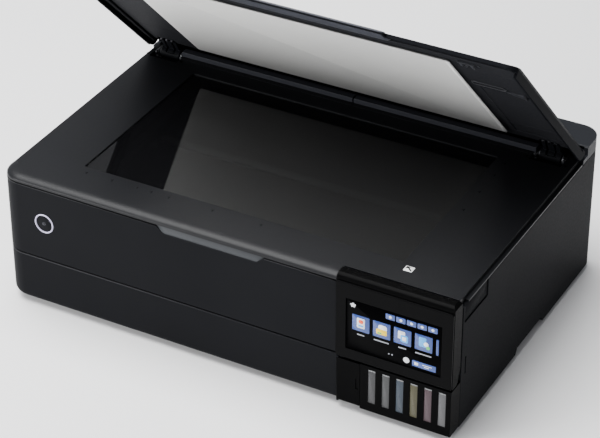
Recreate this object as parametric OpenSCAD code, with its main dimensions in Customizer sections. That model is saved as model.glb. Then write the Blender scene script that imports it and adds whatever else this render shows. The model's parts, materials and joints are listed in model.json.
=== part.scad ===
// Inkjet photo printer with a flatbed scanner, ink tanks, paper cassettes and a tilting control panel.
// Places are given from the left side (X), the front face (Y) and the table (Z), then centred by site().

/* [Casing] */
// Width of the casing
body_w = 523; // [515:1:540]
// Depth from the front face to the rear wall
body_d = 359; // [355:1:370]
// How far the rear cover stands out behind the rear wall
rear_out = 15; // [8:1:25]
// How far the control panel stands out in front of the front face
panel_out = 5; // [3:0.5:6]
// Wall thickness of the casing shells
wall = 2.6; // [2:0.2:3]
// Height of the rubber feet
foot_h = 6; // [4:0.5:8]
// Height of the seam under the scanner unit
seam_z = 150; // [150:0.5:152]
// Height of the top edge of the front cover
cover_z = 65; // [62:0.5:66]
// Gap shown between neighbouring shells
gap = 0.8; // [0.5:0.1:1]
// Radius of the front left corner, seen from above
front_r = 24; // [16:1:30]
// Radius of the rear corners, seen from above
rear_r = 22; // [12:1:30]

/* [Scanner] */
// Height of the scanner bed
bed_z = 156.5; // [156:0.5:158]
// Width of the scanning window
window_w = 368; // [356:1:372]
// Depth of the scanning window
window_d = 219.6; // [216:0.2:224]
// Travel of the scanning bar
scan_travel = 330; // [300:10:340]

/* [Lid] */
// How far the lid stands open
lid_open = 46; // [0:1:66]
// Height of the closed lid's top
lid_top = 169; // [167:0.5:169.5]

/* [Front] */
// Left edge of the control panel and of the ink unit
panel_x = 396; // [390:1:400]
// Width of one ink window
ink_w = 8.2; // [6:0.2:9]
// Distance between the centres of neighbouring ink windows
ink_pitch = 15.28; // [15:0.02:15.3]
// Radius of the power button
button_r = 9.4; // [8:0.2:10]

/* [Hidden] */
$fn = 48;
shaft_gap = 0.05;       // radial clearance of a shaft in its bore
bottom_z = foot_h + 0.5;
mid_y = (body_d + rear_out - panel_out) / 2;
pivot_y = 305;          // the axis that the lid and the scanner unit swing about
pivot_z = seam_z + 2.4;
tail_r = 17.5;          // radius of what swings behind that axis
pocket_r = 19;          // radius of the hollow behind it
lid_corner_r = 11;      // front right corner of the lid, seen from above
cover_y = 6;            // the front cover's hinge axis
cover_hz = 11.5;
cover_r = cover_z - 0.6 - cover_hz;
glass_x = 73.7;         // near left corner of the scanning window
glass_y = 51.3;
tilt_y = 5;             // the control panel's hinge axis
tilt_z = seam_z + 6;
ink_x = 436.7;          // centre of the first ink window
roller_z = 70;          // height of the feed and exit rollers
feed_y = 224;
exit_y = 152;
gear_r = (feed_y - exit_y) / 4;
motor_y = 272;          // the feed motor's shaft
motor_z = 84;
rail_y = 232;           // the print carriage's rail
rail_z = 100;
hinge_x = [27, 489];    // middles of the lid's two hinges
arm_x = [panel_x + 5, body_w - 9]; // left faces of the control panel's two arms
door_x = panel_x + 2.6; // the card door's hinge axis
door_y = -2.7;
feeder_y = 347;         // the rear slot cover's hinge axis
feeder_z = 163.8;
far = 600;              // longer than any side of the object

case_c = "#24262b";
panel_c = "#111214";
bed_c = "#1c1e22";
light_c = "#8b8e93";
inner_c = "#2f3136";
white_c = "#e6e6e2";
steel_c = "#b9bcc0";
inks = ["#6b6f73", "#7d8488", "#5e7180", "#8d8a55", "#7b6478", "#a3a7aa"];

// Moves corner measurements so that the origin is at the middle of the footprint.
module site() {
    translate([-body_w / 2, -mid_y, 0]) children();
}

// Turns the closed lid's pieces to the open rest position.
module open_lid() {
    translate([0, pivot_y, pivot_z]) rotate([-lid_open, 0, 0]) translate([0, -pivot_y, -pivot_z])
        children();
}

module block(x0, x1, y0, y1, z0, z1) {
    translate([x0, y0, z0]) cube([x1 - x0, y1 - y0, z1 - z0]);
}

// Bars along X, Y and Z, given by their ends, centre and radius.
module x_bar(x0, x1, y, z, r) {
    translate([x0, y, z]) rotate([0, 90, 0]) cylinder(h = x1 - x0, r = r);
}
module y_bar(x, y0, y1, z, r) {
    translate([x, y1, z]) rotate([90, 0, 0]) cylinder(h = y1 - y0, r = r);
}
module z_bar(x, y, z0, z1, r) {
    translate([x, y, z0]) cylinder(h = z1 - z0, r = r);
}

// A shape drawn in (Y, Z) and run along X.
module along_x(x0, x1) {
    translate([x0, 0, 0]) rotate([90, 0, 90]) linear_extrude(x1 - x0) children();
}

// A shape drawn in (X, Z) and run along Y.
module along_y(y0, y1) {
    translate([0, y1, 0]) rotate([90, 0, 0]) linear_extrude(y1 - y0) children();
}

// Takes one corner at (x, y) off a flat shape, to a radius r; sx and sy point into the shape.
module corner_cut(x, y, sx, sy, r) {
    translate([x, y]) difference() {
        translate([sx > 0 ? -1 : -r, sy > 0 ? -1 : -r]) square(r + 1);
        translate([sx * r, sy * r]) circle(r);
    }
}

// The casing seen from above, inset by i.
module plan(i = 0) {
    difference() {
        translate([i, i]) square([body_w - 2 * i, body_d - 2 * i]);
        corner_cut(i, i, 1, 1, front_r - i);
        corner_cut(i, body_d - i, 1, -1, rear_r - i);
        corner_cut(body_w - i, body_d - i, -1, -1, rear_r - i);
    }
}

// The casing wall between two heights, cut down to a box in X and Y.
module casing(x0, x1, y0, y1, z0, z1) {
    intersection() {
        translate([0, 0, z0]) linear_extrude(z1 - z0) difference() {
            plan();
            plan(wall);
        }
        block(x0, x1, y0, y1, z0 - 1, z1 + 1);
    }
}

// Floor of the machine with a low rim inside the covers.
module base_case() color(inner_c) site() difference() {
    union() {
        translate([0, 0, foot_h]) linear_extrude(3) plan(wall + 0.6);
        translate([0, 0, foot_h + 3]) linear_extrude(9) difference() {
            plan(wall + 0.6);
            plan(wall + 2.8);
        }
    }
    block(-1, panel_x, -1, 14, 0, 40);
    block(panel_x - 2, far, -6, 6, 0, 40);
    block(-1, 12, -1, 30, foot_h + 3, 40);
    block(40, panel_x + 2, 5, 40, foot_h + 3, 40);
    block(60, 500, body_d - 8, far, foot_h + 3, 40);
    block(body_w - 13, far, 145, 228, 0, 40);
    block(body_w - 13, far, -1, 112, foot_h + 3, 40);
}

// Upper front face, with the scoop for the fingers and the hole for the power button.
module front_panel() color(case_c) site() difference() {
    union() {
        casing(-1, panel_x - gap / 2, -1, 26, cover_z - 8, seam_z - 0.4);
        block(186, 318, wall, 9.8, seam_z - 12, seam_z - 10);
        block(186, 318, 8, 9.8, seam_z - 10, seam_z - 0.4);
        block(front_r, panel_x - 4, wall, 22, cover_z, cover_z + 2.4);
    }
    block(-1, far, -1, 4, 0, cover_z);
    x_bar(-1, far, cover_y, cover_hz, cover_r + 0.6);
    along_y(-1, wall + 0.1) polygon([[188, seam_z + 1], [199, seam_z - 8], [306, seam_z - 8],
        [316, seam_z + 1]]);
    y_bar(54.3, -1, wall + 1, 108.6, button_r + 2);
}

module left_cover() color(case_c) site()
    casing(-1, front_r, 26 + gap, far, bottom_z, seam_z - 0.4);

// Right side, with a grip, a slot and a hand recess at the bottom, each with its own lining.
module right_cover() color(case_c) site() {
    difference() {
        union() {
            casing(body_w - rear_r, far, 16 + gap, far, bottom_z, seam_z - 0.4);
            block(body_w - 7, body_w - 1, 18, 75, 127, seam_z - 0.4);
            block(body_w - 11, body_w - 1, 146, 227, bottom_z, 20);
        }
        block(body_w - 4.6, far, 20, 73, 130, far);
        block(body_w - 5, far, 24.6, 27.4, 66, 87);
        hand_recess();
    }
}

// Hand recess under the right side, with sloped ends.
module hand_recess() {
    along_x(body_w - 9, body_w + 1) polygon([[148, 0], [156, 13], [217, 13], [225, 0]]);
}

module rear_panel() color(case_c) site() difference() {
    casing(front_r + gap, body_w - rear_r - gap, body_d - 10, far, bottom_z, seam_z - 0.4);
    block(79, 441, body_d - 20, far, 39, 126);
    block(451, 483, body_d - 20, far, 20, 44);
    block(450, 484, body_d - 20, far, 62, 82);
}

// Fixed rear housing with the rear paper slot and the hollow that the lid's tail turns in.
module rear_feeder_housing() color(case_c) site() difference() {
    union() {
        translate([0, 0, seam_z + 0.4]) linear_extrude(15.6) intersection() {
            plan(0.01);
            translate([-1, 318.4]) square(far);
        }
        for (x = [0.1, body_w - 4]) block(x, x + 3.9, 307, 319, seam_z + 0.4, bed_z - 1);
        along_x(30, body_w - 30) intersection() {
            translate([pivot_y, pivot_z]) circle(pocket_r + 2.5);
            translate([pivot_y + 1, 128]) square([24, seam_z + 1 - 128]);
        }
    }
    block(90, 440, 324, 350, 0, far);
    block(118, 412, 352, 355.2, 0, far);
    x_bar(4.4, body_w - 4.4, pivot_y, pivot_z, pocket_r);
    along_x(-1, far) polygon([[318, 164], [318, 167], [321, 167]]);
    x_bar(86, 444, feeder_y, feeder_z, 1.2 + shaft_gap);
}

module power_ring() color("#c9c7dc") site() difference() {
    y_bar(54.3, -0.6, wall + 0.4, 108.6, button_r + 1.9);
    y_bar(54.3, -1, wall + 1, 108.6, button_r + 0.3);
}

module power_button() color(case_c) site() union() {
    y_bar(54.3, 0, 5, 108.6, button_r - 0.1);
    y_bar(54.3, 5, 12, 108.6, 4);
}

// Front of the ink unit, with a window for each tank and the arms that the control panel turns on.
module ink_bezel() color(panel_c) site() difference() {
    union() {
        block(panel_x + 28, body_w - 0.1, -4, -1.4, 8, 62.4);
        block(body_w - 2.5, body_w - 0.1, -4, 16, 8, 62.4);
        block(panel_x + 28, panel_x + 29.4, -4, 13, 9.2, 62.4);
        block(panel_x + 28, panel_x + 29.4, 9, 13, 62, 90);
        block(panel_x + 3.4, body_w - 3.2, 4, 11, 86, 90);
        for (x = arm_x) {
            block(x, x + 4, 4, 7.4, 86, tilt_z);
            x_bar(x, x + 4, tilt_y, tilt_z, 2.8);
        }
    }
    for (i = [0:5]) {
        block(ink_x + i * ink_pitch - ink_w / 2, ink_x + i * ink_pitch + ink_w / 2, -5, -1.2, 17.7, 58.5);
    }
    for (x = arm_x) x_bar(x - 1, x + 5, tilt_y, tilt_z, 2 + shaft_gap);
}

// The six tanks behind their windows.
module ink_tanks() site() {
    for (i = [0:5]) color(inks[i]) {
        x = ink_x + i * ink_pitch;
        difference() {
            union() {
                block(x - 6.2, x + 6.2, -1, 108, 12, 62);
                block(x - 6.2, x + 6.2, 17, 108, 61, 78);
                z_bar(x, 40, 78, 84, 4.6);
            }
            z_bar(x, 40, 60, 90, 2.6);
        }
    }
}

// A tank's stopper: a hinged arm that closes the filling neck.
module ink_cap(i) {
    x = ink_x + (i - 1) * ink_pitch;
    color(inks[i - 1]) site() union() {
        block(x - 5, x + 5, 33, 60, 84.4, 88);
        x_bar(x - 5, x + 5, 60, 86.2, 1.8);
        z_bar(x, 40, 82.6, 84.4, 2.3);
    }
}
module ink_cap_1() ink_cap(1);
module ink_cap_2() ink_cap(2);
module ink_cap_3() ink_cap(3);
module ink_cap_4() ink_cap(4);
module ink_cap_5() ink_cap(5);
module ink_cap_6() ink_cap(6);

// Cover over the filling necks.
module ink_cover() color(inner_c) site() union() {
    block(427, body_w - 8, 20, 112, 116, 118.6);
    block(427, body_w - 8, 20, 22.6, 106, 116);
    x_bar(440, 500, 112, 117.3, 1.3);
}

// Card reader behind the small door, with the door's two pins.
module card_slot() color(inner_c) site() {
    difference() {
        block(panel_x + 2.4, panel_x + 27.6, 3, 38, 14, 60);
        block(panel_x + 6, panel_x + 9, 0, 30, 18, 48);
        block(panel_x + 15, panel_x + 22, 0, 20, 36, 50);
    }
    for (z = [[8.6, 10, 8.6, 13, 14.4], [62, 63.4, 59, 63.4, 60]]) {
        z_bar(door_x, door_y, z[2], z[3], 0.8);
        z_bar(door_x, door_y, z[0], z[1], 1.3);
        block(door_x - 1.3, door_x + 1.3, door_y, 6, z[0], z[1]);
        block(door_x, door_x + 1.3, 4, 6, min(z[0], z[4]), max(z[0], z[4]));
    }
}

module card_door() color(panel_c) site() difference() {
    union() {
        block(door_x, panel_x + 27.6, -4, -1.4, 10.4, 61.6);
        z_bar(door_x, door_y, 10.4, 61.6, 1.3);
    }
    z_bar(door_x, door_y, 10, 62, 0.8 + shaft_gap);
    block(panel_x + 23, panel_x + 26, -5, -3.2, 30, 42);
}

// Control panel: the tilting housing, its glossy front sheet and the display behind it.
module panel_housing() color(panel_c) site() {
    difference() {
        along_x(panel_x + 0.4, body_w - 0.1) polygon([[-3, cover_z - 0.6], [-3, 155], [-1, 158.6],
            [3, 160.5], [10, 160.5], [13, 158], [14, 150], [14, 80], [7.5, cover_z - 0.6]]);
        along_x(panel_x + 3, body_w - 2.8) polygon([[-0.6, 67], [-0.6, 154], [1.5, 156.8],
            [4, 159.2], [9, 159.2], [10.4, 157.6], [10.4, 156.4], [15, 156.4], [15, 67]]);
        translate([body_w, 0, 160.5]) rotate([0, 45, 0]) cube([7, 60, 7], center = true);
    }
    x_bar(panel_x + 2, arm_x[0] + 6, tilt_y, tilt_z, 2);
    x_bar(arm_x[1] - 2, body_w - 2, tilt_y, tilt_z, 2);
}

module panel_glass() color("#08090a") site() difference() {
    block(panel_x + 0.8, body_w - 0.6, -panel_out, -3, cover_z, 154);
    block(408, 511, -6, -2, 77, 136.6);
}

module lcd_module() color("#4a64a8") site() block(408.4, 510.6, -4.4, -3, 77.4, 136.2);

// Top frame of the scanner unit: the bed with its window, and the ledge that the lid's sides meet.
module scanner_top() color(bed_c) site() difference() {
    union() {
        for (s = [[0.1, 0, 1.6], [1, 1.6, 1.6], [3.2, 3.2, 1.5], [6.4, 4.7, 1.4]]) {
            translate([0, 0, seam_z + 0.4 + s[1]]) linear_extrude(s[2]) intersection() {
                plan(s[0]);
                translate([-1, -1]) square([far, s[1] > 1 ? 28 : 305]);
            }
        }
        translate([0, 0, seam_z + 2]) linear_extrude(bed_z - seam_z - 2) intersection() {
            plan(4.6);
            translate([-1, 27.9]) square([far, 316 - 27.9]);
        }
        block(5, body_w - 5, 304.9, 316, seam_z + 0.4, seam_z + 2.1);
    }
    block(glass_x, glass_x + window_w, glass_y, glass_y + window_d, 0, far);
    block(58, 458, 38, 286, 0, seam_z + 5);
    block(panel_x - 1, far, -6, 17, 0, far);
    for (y = [[304, 5], [314, 9.6]]) {
        block(-1, y[1], y[0], far, 0, far);
        block(body_w - y[1], far, y[0], far, 0, far);
    }
    for (x = hinge_x) block(x - 18, x + 18, 283, far, 0, far);
}

// Lower shell of the scanner unit, an open tray.
module scanner_base() color(inner_c) site() difference() {
    union() {
        block(8, body_w - 8, 14, 296, 122, seam_z);
        block(8, panel_x - 4, 12, 20, 122, seam_z);
    }
    block(10, body_w - 10, 20, 294, 124.5, far);
    block(10, panel_x - 8, 14, 22, 124.5, far);
    block(panel_x - 4, far, 0, 18, 0, far);
}

module scanner_glass() color("#15171a") site() block(58.5, 457.5, 38.5, 285.5, 151.9, 154.9);

module scan_rail() color(steel_c) site() x_bar(10, body_w - 10, 165, 136, 4);

// Scanning bar with its lamp strip, on a bearing that runs on the rail.
module scan_carriage() color(inner_c) site() difference() {
    union() {
        block(76, 96, 46, 276, 140.5, 151);
        block(74, 98, 155, 175, 128, 142);
    }
    x_bar(60, 110, 165, 136, 4 + shaft_gap);
    block(84, 88, 50, 272, 149.5, far);
}

module scan_motor() color(steel_c) site() union() {
    z_bar(490, 200, 124.5, 142, 11);
    z_bar(490, 200, 142, 147, 2);
}

// Brackets on the scanner unit, each with the pin that the lid turns on.
module hinge_pins() color(steel_c) site() for (x = hinge_x) {
    for (s = [-1, 1]) difference() {
        translate([x + s * 16, pivot_y, pivot_z]) rotate([0, 90, 0])
            cylinder(h = 3, r = 8, center = true);
        block(0, far, pivot_y - 20, pivot_y + 20, pivot_z + 4, far);
    }
    for (s = [-1, 1]) block(x + s * 16 - 1.5, x + s * 16 + 1.5, 296, 302, 146, seam_z);
    x_bar(x - 14.5, x + 14.5, pivot_y, pivot_z, 3);
}

// Pale strips behind the scanner bed.
module rear_strips() color(light_c) site() for (x = [43, 258.8]) {
    block(x, x + 214.4, 298, 307, bed_z, bed_z + 5.5);
}

// The closed lid as a solid, inset by i.
module lid_solid(i) {
    intersection() {
        along_x(-1, body_w + 1) polygon(concat(
            [[9.5 + i, 100], [9.5 + i, 158 - i * 0.4], [22 + i * 0.3, 161.8 - i],
            [35 + i * 0.3, 164.6 - i], [49 + i * 0.2, 167 - i], [80, lid_top - i], [299, lid_top - i]],
            [for (a = [80:-10:50]) [pivot_y + (tail_r - i) * cos(a), pivot_z + (tail_r - i) * sin(a)]],
            [[pivot_y + 11 - i, 150], [pivot_y + 11 - i, 100]]));
        along_y(-1, 400) polygon([[i, 100], [i, 161 - i], [3 + i * 0.6, 165.5 - i],
            [14, lid_top - 0.8 - i], [40, lid_top - i], [body_w - 40, lid_top - i],
            [body_w - 14, lid_top - 0.8 - i], [body_w - 3 - i * 0.6, 165.5 - i],
            [body_w - i, 161 - i], [body_w - i, 100]]);
        translate([0, 0, 100]) linear_extrude(100) plan(0.1 + i);
        difference() {
            block(-1, far, 0, far, 100, 200);
            block(388 - i, far, -1, 19 + i, 0, far);
            linear_extrude(far) corner_cut(body_w - i, 19 + i, -1, 1, lid_corner_r - i);
        }
    }
}

// Outer shell of the lid, with side walls that hang to the scanner unit's ledge.
module lid_outer() color(case_c) site() open_lid() difference() {
    lid_solid(0);
    lid_solid(wall);
    block(-1, far, -1, 28, 0, 157.2);
    block(-1, far, -1, far, 0, 152.4);
    block(4, body_w - 4, 280, far, 0, 162);
    block(-1, 4.8, 292, far, 0, far);
    block(body_w - 4.8, far, 292, far, 0, far);
}

// Inner face of the lid that carries the pad, with its moulded pockets.
module lid_inner() color(inner_c) site() open_lid() difference() {
    block(6, body_w - 6, 38, 284, 160, 162);
    block(452, 487, 106, 114, 0, far);
    for (x = hinge_x) block(x - 12, x + 12, 276, far, 0, far);
}

// White pad that presses the page onto the glass.
module document_pad() color(white_c) site() open_lid() union() {
    block(73, 445, 50, 272, bed_z + 0.4, bed_z + 2);
    block(76, 442, 53, 269, bed_z + 2, 160);
}

// Arms from the lid down to the hinge pins.
module lid_hinges() color(inner_c) site() open_lid() for (x = hinge_x) difference() {
    union() {
        x_bar(x - 12, x + 12, pivot_y, pivot_z, 8);
        along_x(x - 10, x + 10) polygon([[pivot_y - 6, pivot_z + 3], [pivot_y - 22, 160],
            [pivot_y - 28, 165.2], [pivot_y + 6, 165.2], [pivot_y + 7, pivot_z + 3]]);
    }
    x_bar(x - 20, x + 20, pivot_y, pivot_z, 3 + shaft_gap);
}

// Main cassette, with the beam that the front cover hangs on.
module paper_cassette() color(inner_c) site() union() {
    difference() {
        block(85, 335, 12, 330, 11, 40);
        block(87.5, 332.5, 20, 327.5, 13, far);
    }
    block(30, 84.9, 12, 20, 11, 24);
    block(335.1, 390, 12, 20, 11, 24);
    for (x = [56, 326]) {
        x_bar(x + 8, x + 24, cover_y, cover_hz, 1.6);
        x_bar(x, x + 8, cover_y, cover_hz, 2.4);
        block(x, x + 8, cover_y, 12, cover_hz - 0.5, cover_hz + 2.4);
    }
}

module paper_guide(x) color(steel_c) site() union() {
    block(x, x + 2, 60, 240, 13.4, 33);
    block(x > 200 ? x - 30 : x + 2, x > 200 ? x : x + 32, 130, 160, 13.4, 15.4);
}
module guide_left() paper_guide(101);
module guide_right() paper_guide(317);

// Upper cassette for photo paper, which sits on the main one.
module photo_cassette() color(case_c) site() difference() {
    block(86, 334, 20, 210, 40, 48);
    block(88.5, 331.5, 26, 207.5, 42.4, far);
}

// Front cover: it hinges down at its bottom edge, and wraps round the left corner.
module front_cover() color(case_c) site() difference() {
    union() {
        intersection() {
            casing(-1, panel_x - gap / 2, -1, 25.6, bottom_z, cover_z - 0.6);
            union() {
                block(-1, far, -1, wall + 0.4, 0, far);
                x_bar(-1, far, cover_y, cover_hz, cover_r);
            }
        }
        for (x = [64.6, 334.6]) {
            x_bar(x, x + 13, cover_y, cover_hz, 3.4);
            block(x, x + 13, wall - 0.1, cover_y, 9, 14);
        }
    }
    for (x = [60, 330]) x_bar(x, x + 22, cover_y, cover_hz, 1.6 + shaft_gap);
}

module output_tray() color(inner_c) site() difference() {
    block(40, 390, 36, 148, 51, 55);
    block(44, 386, 40, 145, 52.6, far);
}

// Rear slot cover, and the paper support that pulls up behind it.
module feeder_cover() color(case_c) site() union() {
    block(91, 439, 324.6, 348, 163.6, 166);
    x_bar(87, 443, feeder_y, feeder_z, 1.2);
}
module paper_support() color(inner_c) site() union() {
    block(120, 410, 352.4, 354.8, 52, seam_z + 16);
    block(240, 290, 351.2, 352.4, seam_z + 17, seam_z + 21);
    block(240, 290, 351.2, 354.8, seam_z + 16, seam_z + 17);
}

// Cover of the rear paper path, which pulls straight off the back.
module rear_cover() color(case_c) site() difference() {
    block(80, 440, body_d - 2.6, body_d + rear_out, 40, 125);
    block(84, 436, body_d - 8, body_d + rear_out - 3, 44, 121);
}

// Steel side plates and rear beam that carry the print mechanism.
module chassis() color(steel_c) site() union() {
    difference() {
        union() {
            for (x = [22, 404]) block(x, x + 2, 130, 300, 9, 119);
            block(24, 404, 298, 300, 60, 119);
        }
        for (y = [feed_y, exit_y]) x_bar(10, 420, y, roller_z, 4 + shaft_gap);
        x_bar(10, 30, motor_y, motor_z, 3);
    }
    x_bar(9, 22, (feed_y + exit_y) / 2, roller_z, 3);
}

module platen() color(inner_c) site() union() {
    block(24, 318, 166, 208, 58, 62);
    for (i = [0:9]) block(40 + i * 29, 42 + i * 29, 168, 206, 62, 65);
}

// Service station that the print head parks on.
module capping_station() color(inner_c) site() union() {
    block(322, 403, 162, 212, 50, 68);
    for (x = [332, 352]) difference() {
        block(x, x + 14, 170, 204, 68, 76);
        block(x + 2, x + 12, 172, 202, 70, 80);
    }
    block(372, 375, 170, 204, 68, 77);
}

module carriage_rail() color(steel_c) site() x_bar(24, 404, rail_y, rail_z, 5);

// Ink head carriage, parked at the right end of its rail.
module print_carriage() color(inner_c) site() difference() {
    union() {
        block(326, 398, 160, 218, 82, 117);
        block(334, 390, 217, 243, 88, 112);
        block(336, 388, 168, 206, 78.5, 82);
    }
    x_bar(320, 410, rail_y, rail_z, 5 + shaft_gap);
    for (i = [0:5]) block(330 + i * 11, 338.6 + i * 11, 166, 212, 113, far);
}

belt_r = 8;
belt_x = [40, 390];
belt_z = 104;
module carriage_belt() color(panel_c) site() difference() {
    union() {
        for (x = belt_x) y_bar(x, 247, 253, belt_z, belt_r + 1.2);
        block(belt_x[0], belt_x[1], 247, 253, belt_z - belt_r - 1.2, belt_z + belt_r + 1.2);
    }
    for (x = belt_x) y_bar(x, 246, 254, belt_z, belt_r);
    block(belt_x[0], belt_x[1], 246, 254, belt_z - belt_r, belt_z + belt_r);
}

module carriage_motor() color(steel_c) site() union() {
    y_bar(belt_x[1], 262, 292, belt_z, 13);
    y_bar(belt_x[1], 244, 262, belt_z, 1.5);
    y_bar(belt_x[0], 244, 298, belt_z, 1.5);
}

module drive_pulley() color(light_c) site() difference() {
    union() {
        y_bar(belt_x[1], 247, 253, belt_z, belt_r - 0.4);
        y_bar(belt_x[1], 253.4, 256, belt_z, belt_r + 1);
        y_bar(belt_x[1], 253, 253.4, belt_z, 4);
    }
    y_bar(belt_x[1], 240, 260, belt_z, 1.5 + shaft_gap);
    for (a = [0:60:300]) translate([belt_x[1], 0, belt_z]) rotate([0, a, 0])
        y_bar(5, 240, 260, 0, 1.1);
}

// A spur gear along X with simple straight-sided teeth.
gear_teeth = 18;
module gear(x0, x1, y, turn) {
    pitch = 360 / gear_teeth;
    along_x(x0, x1) translate([y, roller_z]) rotate(turn) union() {
        circle(gear_r - 2.4);
        for (i = [0:gear_teeth - 1]) rotate(i * pitch)
            polygon([[gear_r - 3, -1.9], [gear_r + 1.4, -0.7], [gear_r + 1.4, 0.7], [gear_r - 3, 1.9]]);
    }
}

// Rollers that move the paper, each with its gear on the left end.
module roller(y, r, turn) union() {
    x_bar(10, 412, y, roller_z, 4);
    for (i = [0:5]) x_bar(44 + i * 58, 84 + i * 58, y, roller_z, r);
    gear(11, 17, y, turn);
}
module feed_roller() color(steel_c) site() roller(feed_y, 7, 0);
module exit_roller() color(inner_c) site() roller(exit_y, 5.5, 0);

module idler_gear() color(white_c) site() difference() {
    gear(11, 17, (feed_y + exit_y) / 2, 180 / gear_teeth);
    x_bar(8, 20, (feed_y + exit_y) / 2, roller_z, 3 + shaft_gap);
}

module feed_motor() color(steel_c) site() union() {
    x_bar(24, 58, motor_y, motor_z, 14);
    x_bar(12, 24, motor_y, motor_z, 2);
}

module main_board() color("#1f5a3a") site() union() {
    block(409, 511, 126, 232, 14, 15.6);
    for (p = [[425, 140, 22, 6], [465, 150, 30, 3], [430, 190, 14, 12], [470, 200, 26, 9]])
        block(p[0], p[0] + p[2], p[1], p[1] + 22, 15.6, 15.6 + p[3]);
    for (x = [415, 508]) for (y = [130, 226]) z_bar(x, y, 9, 14, 2.4);
}

module power_supply() color(steel_c) site() difference() {
    block(412, 512, 246, 344, 9, 56);
    for (i = [0:9]) block(420 + i * 9, 424 + i * 9, 260, 330, 54, far);
}

// Socket for the mains lead, in the rear wall.
module ac_inlet() color(panel_c) site() difference() {
    block(452, 482, 344, body_d - 0.4, 21, 43);
    block(456, 478, 350, far, 25, 39);
}

module data_ports() color(inner_c) site() difference() {
    block(451, 483, 344, body_d - 0.4, 63, 81);
    block(453, 465, 348, far, 66, 77);
    block(468, 481, 348, far, 65, 78);
}

module rubber_feet() color(panel_c) site() {
    for (x = [40, body_w - 40]) for (y = [34, body_d - 34]) z_bar(x, y, 0, foot_h, 10);
}

base_case();
front_panel();
left_cover();
right_cover();
rear_panel();
rear_feeder_housing();
power_ring();
power_button();
ink_bezel();
ink_tanks();
ink_cap_1();
ink_cap_2();
ink_cap_3();
ink_cap_4();
ink_cap_5();
ink_cap_6();
ink_cover();
card_slot();
card_door();
panel_housing();
panel_glass();
lcd_module();
scanner_top();
scanner_base();
scanner_glass();
scan_rail();
scan_carriage();
scan_motor();
hinge_pins();
rear_strips();
lid_outer();
lid_inner();
document_pad();
lid_hinges();
paper_cassette();
guide_left();
guide_right();
photo_cassette();
front_cover();
output_tray();
feeder_cover();
paper_support();
rear_cover();
chassis();
platen();
capping_station();
carriage_rail();
print_carriage();
carriage_belt();
carriage_motor();
drive_pulley();
feed_roller();
exit_roller();
idler_gear();
feed_motor();
main_board();
power_supply();
ac_inlet();
data_ports();
rubber_feet();
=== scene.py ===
import json
import math

import bmesh
import bpy
from mathutils import Matrix, Vector


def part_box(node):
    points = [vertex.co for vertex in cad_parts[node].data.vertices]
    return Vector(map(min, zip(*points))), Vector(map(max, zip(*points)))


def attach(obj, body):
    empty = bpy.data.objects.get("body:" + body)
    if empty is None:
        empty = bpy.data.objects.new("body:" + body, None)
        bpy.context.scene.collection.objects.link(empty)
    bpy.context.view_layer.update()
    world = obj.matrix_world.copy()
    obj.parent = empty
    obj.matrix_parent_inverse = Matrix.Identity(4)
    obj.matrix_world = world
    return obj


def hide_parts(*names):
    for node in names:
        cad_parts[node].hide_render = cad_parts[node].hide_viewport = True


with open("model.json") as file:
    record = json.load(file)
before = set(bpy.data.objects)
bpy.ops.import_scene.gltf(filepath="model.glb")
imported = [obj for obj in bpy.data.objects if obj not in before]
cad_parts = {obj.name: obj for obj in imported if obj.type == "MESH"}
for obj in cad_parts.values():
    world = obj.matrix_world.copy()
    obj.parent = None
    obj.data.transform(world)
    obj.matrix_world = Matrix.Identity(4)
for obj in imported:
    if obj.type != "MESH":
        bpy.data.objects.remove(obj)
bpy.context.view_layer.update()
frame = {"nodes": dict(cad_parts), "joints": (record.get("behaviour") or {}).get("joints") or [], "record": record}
nodes = frame["nodes"]

# ---------------------------------------------------------------- places, worked out from the frame
MM = 0.001
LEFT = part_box("rear_feeder_housing")[0][0]
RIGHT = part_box("rear_feeder_housing")[1][0]
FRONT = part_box("front_cover")[0][1]
WIDTH = (RIGHT - LEFT) / MM


def at(x, y, z):
    """A point given in mm from the left side, the front face and the table, in metres."""
    return Vector((LEFT + x * MM, FRONT + y * MM, z * MM))


def span(node):
    """A node's box in the same mm: ((x0, y0, z0), (x1, y1, z1))."""
    low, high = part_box(node)
    return tuple(((p[0] - LEFT) / MM, (p[1] - FRONT) / MM, p[2] / MM) for p in (low, high))


lid_joint = next(j for j in frame["joints"] if j["name"] == "lid_hinge")
LID_PIVOT = Vector(lid_joint["pos_m"])
LID_OPEN = math.radians(-lid_joint["range_deg"][0])
OPEN_LID = (Matrix.Translation(LID_PIVOT) @ Matrix.Rotation(-LID_OPEN, 4, "X")
            @ Matrix.Translation(-LID_PIVOT))


# ---------------------------------------------------------------- camera, lights and floor
CAMERA_PLACE = (0.9913, -1.8305, 1.4340)
CAMERA_DOWN, CAMERA_ROLL, CAMERA_YAW = 33.18, 0.1, 28.54
CAMERA_LENS, SENSOR_WIDTH = 140.4, 36
# The world's colour from the left of the scene to its right
SKY = ((0.0, (0.5, 0.51, 0.54)), (0.5, (0.34, 0.345, 0.36)), (1.0, (0.22, 0.22, 0.23)))
# Softboxes: name, place, target, sides in metres and power in watts
SOFTBOXES = (("softbox_top", (-0.7, -0.2, 2.7), (0, 0, 0.1), (2.6, 2.2), 210),
             ("softbox_front", (-1.0, -1.2, 0.5), (-0.25, -0.18, 0.1), (0.8, 0.5), 20))
FLOOR_REACH = 6


def make_camera():
    """A long lens, above the printer and to the right of its front."""
    data = bpy.data.cameras.new("camera")
    data.lens = CAMERA_LENS
    data.sensor_width = SENSOR_WIDTH
    camera = bpy.data.objects.new("camera", data)
    bpy.context.scene.collection.objects.link(camera)
    camera.location = CAMERA_PLACE
    camera.rotation_euler = [math.radians(a) for a in (90 - CAMERA_DOWN, CAMERA_ROLL, CAMERA_YAW)]
    bpy.context.scene.camera = camera


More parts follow.
